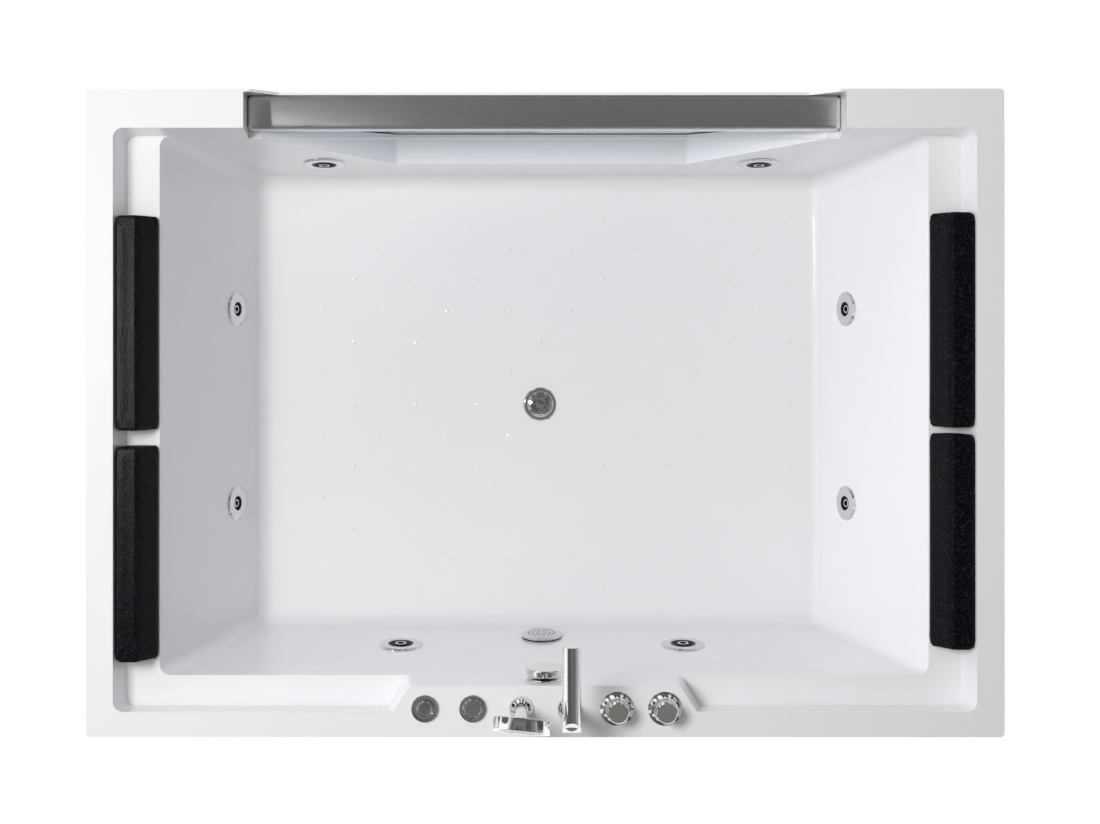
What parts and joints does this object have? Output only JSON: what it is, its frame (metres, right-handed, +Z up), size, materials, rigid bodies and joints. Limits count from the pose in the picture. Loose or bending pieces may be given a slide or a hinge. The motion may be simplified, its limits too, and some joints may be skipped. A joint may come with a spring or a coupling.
{
  "type": "jetted bathtub",
  "caption": "Rectangular two-person jetted bathtub with massage jets, a glass front window, headrests and a deck of taps.",
  "frame": {"origin": "on the floor, below the middle of the tub's rim", "axes": "+Z up, +X along the tub's length, +Y towards the glass window, -Y towards the wall behind the taps"},
  "size_m": [1.7, 1.2, 0.8189],
  "materials": {
    "acrylic": "glossy white acrylic, reinforced behind",
    "skirt_acrylic": "glossy white acrylic panel",
    "board": "sealed particle board",
    "frame_steel": "galvanised square tube",
    "zinc_steel": "zinc-plated stud",
    "black_plastic": "moulded black plastic",
    "window_glass": "tempered glass with a faint blue tint",
    "seal_rubber": "grey silicone seal",
    "rail_steel": "brushed stainless steel",
    "white_plastic": "moulded white plastic",
    "pipe_plastic": "white pressure pipe",
    "hose_plastic": "clear-white air hose",
    "motor_paint": "dark grey painted motor",
    "chrome": "polished chrome",
    "jet_chrome": "polished chrome over a moulded body",
    "cable_sheath": "plastic cable sheath",
    "headrest_skin": "fine-grained black polyurethane skin"
  },
  "bodies": {
    "tub": {"tub_shell": "acrylic", "floor_board": "board", "frame_rails": "frame_steel", "frame_posts": "frame_steel", "foot_studs": "zinc_steel", "foot_pads": "black_plastic", "skirt_front": "skirt_acrylic", "skirt_left": "skirt_acrylic", "skirt_right": "skirt_acrylic", "skirt_screws": "chrome", "window_glass": "window_glass", "window_gasket": "seal_rubber", "window_frame": "rail_steel", "window_rail": "rail_steel", "jet_nuts": "white_plastic", "water_pipes": "pipe_plastic", "air_pipes": "hose_plastic", "pump_volute": "black_plastic", "pump_motor": "motor_paint", "pump_base": "frame_steel", "suction_cover": "chrome", "suction_body": "pipe_plastic", "drain_flange": "chrome", "drain_trap": "pipe_plastic", "overflow_pipe": "pipe_plastic", "overflow_plate": "chrome", "drain_cable": "cable_sheath", "air_button_body": "chrome", "air_dial_body": "chrome", "shower_holder": "chrome", "spout_base": "chrome", "valve_bodies": "chrome", "headrest_left_window": "headrest_skin", "headrest_left_tap": "headrest_skin", "headrest_right_window": "headrest_skin", "headrest_right_tap": "headrest_skin", "jet_housing_1": "jet_chrome", "jet_housing_2": "jet_chrome", "jet_housing_3": "jet_chrome", "jet_housing_4": "jet_chrome", "jet_housing_5": "jet_chrome", "jet_housing_6": "jet_chrome", "jet_housing_7": "jet_chrome", "jet_housing_8": "jet_chrome"},
    "nozzle_1": {"jet_nozzle_1": "chrome"},
    "nozzle_2": {"jet_nozzle_2": "chrome"},
    "nozzle_3": {"jet_nozzle_3": "chrome"},
    "nozzle_4": {"jet_nozzle_4": "chrome"},
    "nozzle_5": {"jet_nozzle_5": "chrome"},
    "nozzle_6": {"jet_nozzle_6": "chrome"},
    "nozzle_7": {"jet_nozzle_7": "chrome"},
    "nozzle_8": {"jet_nozzle_8": "chrome"},
    "overflow_knob": {"overflow_knob": "chrome"},
    "drain_plug": {"drain_plug": "chrome"},
    "air_button": {"air_button": "chrome"},
    "air_dial": {"air_dial": "chrome"},
    "hand_shower": {"hand_shower": "chrome"},
    "spout": {"spout": "chrome"},
    "mixer_knob": {"mixer_knob": "chrome"},
    "diverter_knob": {"diverter_knob": "chrome"}
  },
  "joints": [
    {"name": "nozzle_1_tilt", "type": "hinge", "parent": "tub", "child": "nozzle_1", "pos_m": [-0.62372, 0.195, 0.26539], "axis": [0, 1, 0], "range_deg": [-12, 12]},
    {"name": "nozzle_2_tilt", "type": "hinge", "parent": "tub", "child": "nozzle_2", "pos_m": [-0.62372, -0.195, 0.26539], "axis": [0, 1, 0], "range_deg": [-12, 12]},
    {"name": "nozzle_3_tilt", "type": "hinge", "parent": "tub", "child": "nozzle_3", "pos_m": [0.62372, 0.195, 0.26539], "axis": [0, -1, 0], "range_deg": [-12, 12]},
    {"name": "nozzle_4_tilt", "type": "hinge", "parent": "tub", "child": "nozzle_4", "pos_m": [0.62372, -0.195, 0.26539], "axis": [0, -1, 0], "range_deg": [-12, 12]},
    {"name": "nozzle_5_tilt", "type": "hinge", "parent": "tub", "child": "nozzle_5", "pos_m": [-0.433, 0.49703, 0.30332], "axis": [1, 0, 0], "range_deg": [-12, 12]},
    {"name": "nozzle_6_tilt", "type": "hinge", "parent": "tub", "child": "nozzle_6", "pos_m": [0.433, 0.49703, 0.30332], "axis": [1, 0, 0], "range_deg": [-12, 12]},
    {"name": "nozzle_7_tilt", "type": "hinge", "parent": "tub", "child": "nozzle_7", "pos_m": [-0.279, -0.48184, 0.33544], "axis": [-1, 0, 0], "range_deg": [-12, 12]},
    {"name": "nozzle_8_tilt", "type": "hinge", "parent": "tub", "child": "nozzle_8", "pos_m": [0.279, -0.48184, 0.33544], "axis": [-1, 0, 0], "range_deg": [-12, 12]},
    {"name": "overflow_turn", "type": "hinge", "parent": "tub", "child": "overflow_knob", "pos_m": [0, -0.49819, 0.552], "axis": [0, 0.9915, 0.1303], "range_deg": [0, 90]},
    {"name": "plug_lift", "type": "slide", "parent": "tub", "child": "drain_plug", "axis": [0, 0, 1], "range_m": [0, 0.01]},
    {"name": "button_press", "type": "slide", "parent": "tub", "child": "air_button", "axis": [0, 0, -1], "range_m": [0, 0.004], "stiffness_N_per_m": 250, "springref_m": -0.004},
    {"name": "air_dial_turn", "type": "hinge", "parent": "tub", "child": "air_dial", "pos_m": [-0.1332, -0.547, 0.6], "axis": [0, 0, 1], "range_deg": [0, 120]},
    {"name": "shower_lift", "type": "slide", "parent": "tub", "child": "hand_shower", "axis": [0, 0, 1], "range_m": [0, 0.2]},
    {"name": "spout_swivel", "type": "hinge", "parent": "tub", "child": "spout", "pos_m": [0.0444, -0.547, 0.6], "axis": [0, 0, 1], "range_deg": [-35, 35]},
    {"name": "mixer_turn", "type": "hinge", "parent": "tub", "child": "mixer_knob", "pos_m": [0.1332, -0.547, 0.6], "axis": [0, 0, 1], "range_deg": [0, 180]},
    {"name": "diverter_turn", "type": "hinge", "parent": "tub", "child": "diverter_knob", "pos_m": [0.222, -0.547, 0.6], "axis": [0, 0, 1], "range_deg": [0, 90]}
  ],
  "couplings": [
    {"joint": "plug_lift", "follows": "overflow_turn", "m_per_rad": 0.006366}
  ]
}
